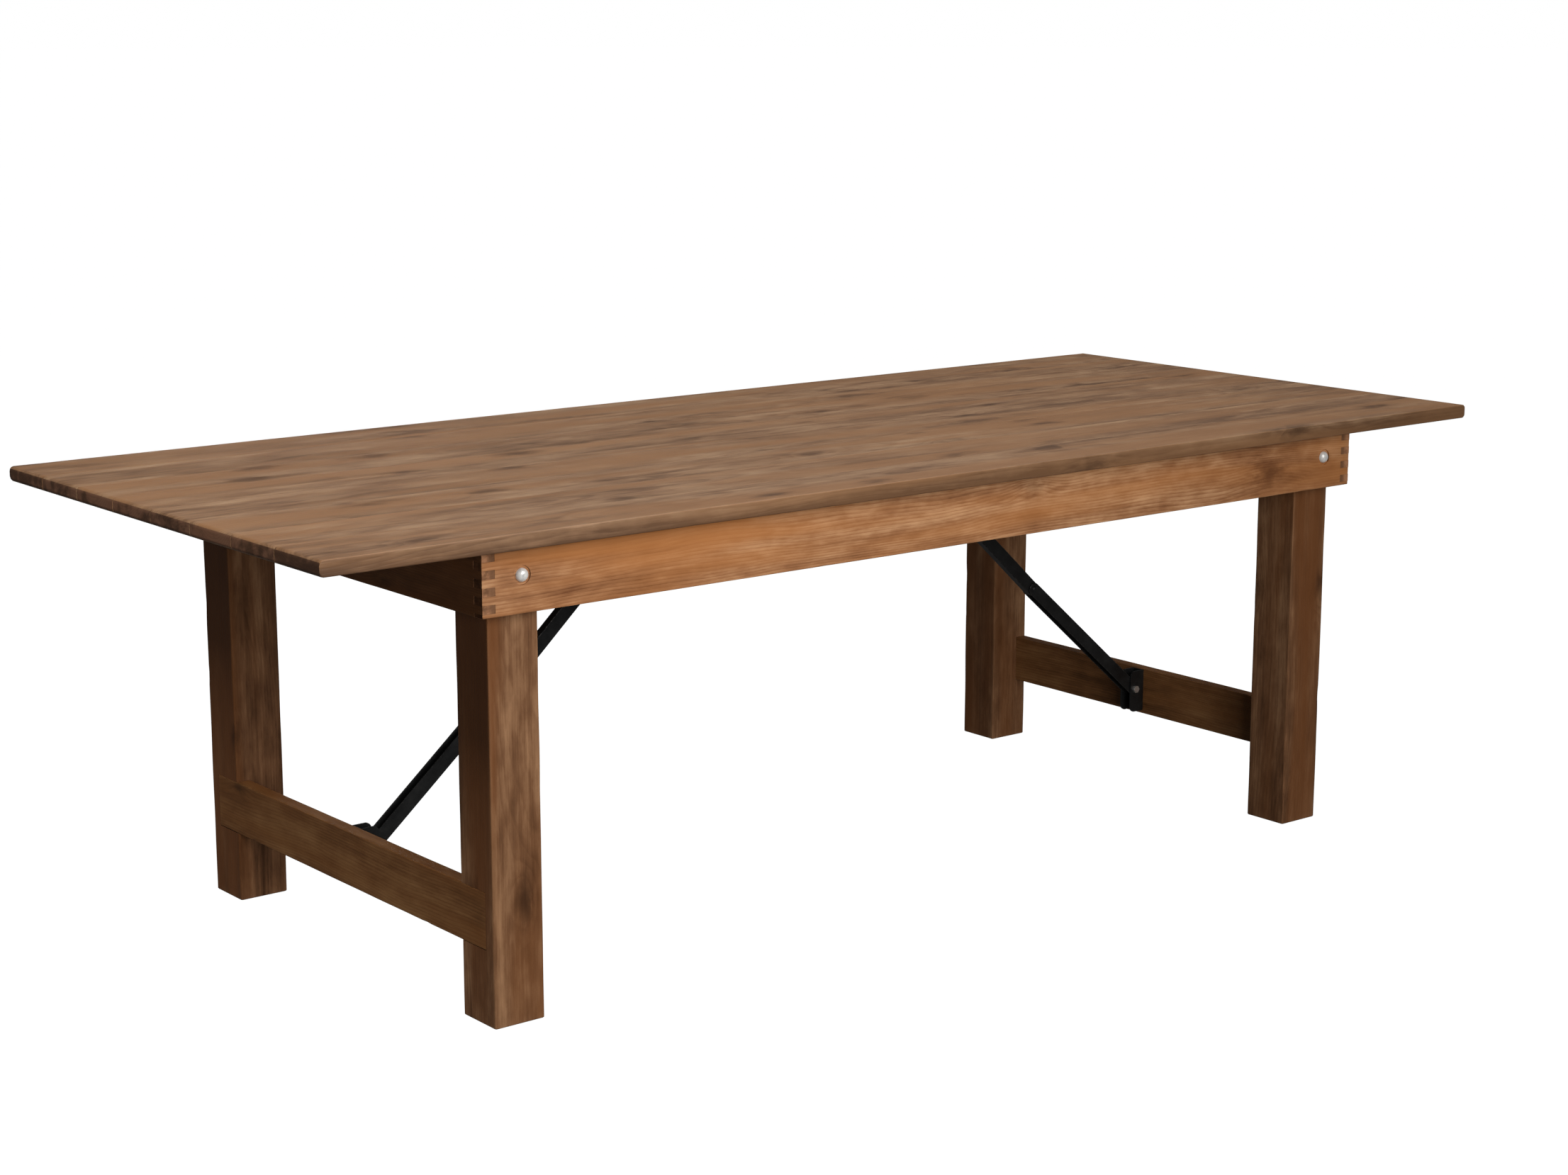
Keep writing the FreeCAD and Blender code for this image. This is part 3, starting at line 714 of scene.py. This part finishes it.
# ---------------------------------------------------------------- studio


def floor():
    """A plain pale floor, softly lit of itself so that it stays even out to the horizon."""
    bm = bmesh.new()
    bmesh.ops.create_circle(bm, cap_ends=True, segments=96, radius=90.0)
    plane = as_object("studio_floor", bm)
    g = Shader("studio_white", Specular_IOR_Level=0.0, Roughness=1.0, Emission_Strength=1.0)
    g.surface.inputs["Base Color"].default_value = grey(0.05)
    g.surface.inputs["Emission Color"].default_value = grey(1.0)
    plane.data.materials.append(g.material)
    plane.location.z = -0.0005
    plane.visible_diffuse = False
    plane.visible_glossy = False


def soft_box(name, place, target, size, power, gleam=True):
    """A square lamp that looks at a point, with or without a gleam of its own on glossy faces."""
    light = bpy.data.lights.new(name, "AREA")
    light.size = size
    light.energy = power
    lamp = bpy.data.objects.new(name, light)
    bpy.context.scene.collection.objects.link(lamp)
    lamp.location = place
    lamp.rotation_mode = "QUATERNION"
    lamp.rotation_quaternion = (Vector(place) - Vector(target)).to_track_quat("Z", "Y")
    lamp.visible_camera = False
    lamp.visible_glossy = gleam


def sky(above, below, gleam):
    """Even white all round for the eye, dimmer white in gleams, and a fill of its own for matt faces.

    above and below are the fill's strengths over and under the horizon, gleam is the white's in gleams.
    """
    world = bpy.data.worlds.new("studio")
    bpy.context.scene.world = world
    world.use_nodes = True
    tree = world.node_tree
    fill = tree.nodes["Background"]
    fill.inputs["Color"].default_value = grey(1.0)
    direction = tree.nodes.new("ShaderNodeTexCoord")
    height = tree.nodes.new("ShaderNodeSeparateXYZ")
    blend = tree.nodes.new("ShaderNodeMapRange")
    for socket, value in zip(blend.inputs[1:5], (-0.1, 0.1, below, above)):
        socket.default_value = value
    tree.links.new(direction.outputs["Generated"], height.inputs[0])
    tree.links.new(height.outputs["Z"], blend.inputs[0])
    tree.links.new(blend.outputs[0], fill.inputs["Strength"])
    ray = tree.nodes.new("ShaderNodeLightPath")
    shown = fill.outputs[0]
    for kind, strength in (("Is Glossy Ray", gleam), ("Is Camera Ray", 1.0)):
        even = tree.nodes.new("ShaderNodeBackground")
        even.inputs["Color"].default_value = grey(1.0)
        even.inputs["Strength"].default_value = strength
        choice = tree.nodes.new("ShaderNodeMixShader")
        tree.links.new(ray.outputs[kind], choice.inputs[0])
        tree.links.new(shown, choice.inputs[1])
        tree.links.new(even.outputs[0], choice.inputs[2])
        shown = choice.outputs[0]
    tree.links.new(shown, tree.nodes["World Output"].inputs["Surface"])


def camera():
    """The photograph's view, fitted to the table's straight edges."""
    data = bpy.data.cameras.new("photo_view")
    data.sensor_width = 36.0
    data.lens = 65.2
    data.clip_end = 300.0
    made = bpy.data.objects.new("photo_view", data)
    bpy.context.scene.collection.objects.link(made)
    yaw, pitch = radians(51.5), radians(11.68)
    made.location = (-3.0745, -3.8512, 1.5045)
    towards = Vector((cos(pitch) * cos(yaw), cos(pitch) * sin(yaw), -sin(pitch)))
    made.rotation_mode = "QUATERNION"
    made.rotation_quaternion = towards.to_track_quat("-Z", "Y")
    bpy.context.scene.camera = made


def studio():
    """Camera, floor and soft light. The boxes without a gleam only fill shadows."""
    camera()
    floor()
    sky(0.05, 0.06, 0.1)
    soft_box("front_soft_box", (-0.3, -3.2, 1.9), (-3.0, -0.4, 0.5), 1.6, 78)
    soft_box("low_soft_box", (-2.4, -6.2, 1.0), (-0.6, 0.0, 0.4), 3.2, 215, gleam=False)
    soft_box("left_soft_box", (-2.6, -0.2, 2.9), (-0.95, 0.0, 0.3), 1.2, 66, gleam=False)
    soft_box("overhead_soft_box", (0.8, 0.0, 3.0), (0.5, 0.0, 0.7), 2.0, 36)
    soft_box("back_soft_box", (1.0, 3.6, 1.6), (0.2, 0.4, 0.5), 1.2, 60, gleam=False)
    soft_box("right_soft_box", (4.6, 0.6, 0.9), (0.9, 0.0, 0.4), 2.0, 110, gleam=False)
    bpy.context.scene.view_settings.view_transform = "Standard"


def table():
    """Every piece, in the materials of its kind."""
    table_top(wood("pine_top", "top", TOP_END, share=0.6, rub=0.05, shine=0.3))
    long_aprons(wood("pine_apron", "apron", share=0.12))
    # the end aprons' side grain is drawn darker than the apron's, as painted shade
    short_aprons(wood("pine_end_apron", "end_apron", FINGER_END))
    battens(wood("pine_batten", "leg", gloss=0.62))
    legs(wood("pine_leg", "leg", size=0.08, share=0.25, figure=0.1))
    stretchers(wood("pine_stretcher", "stretcher", size=0.08))

    # the lower pins' zinc is a more metallic copy of the same plating, so that it renders darker, as painted
    # shade
    zinc, zinc_painted_shade = zinc_steel("zinc_plate", 0.35), zinc_steel("zinc_plate_painted_shade", 0.9)
    black = black_steel()
    pivots(zinc, nylon())
    screw_sets(black, zinc)
    braces(black, zinc_painted_shade)


studio()
table()
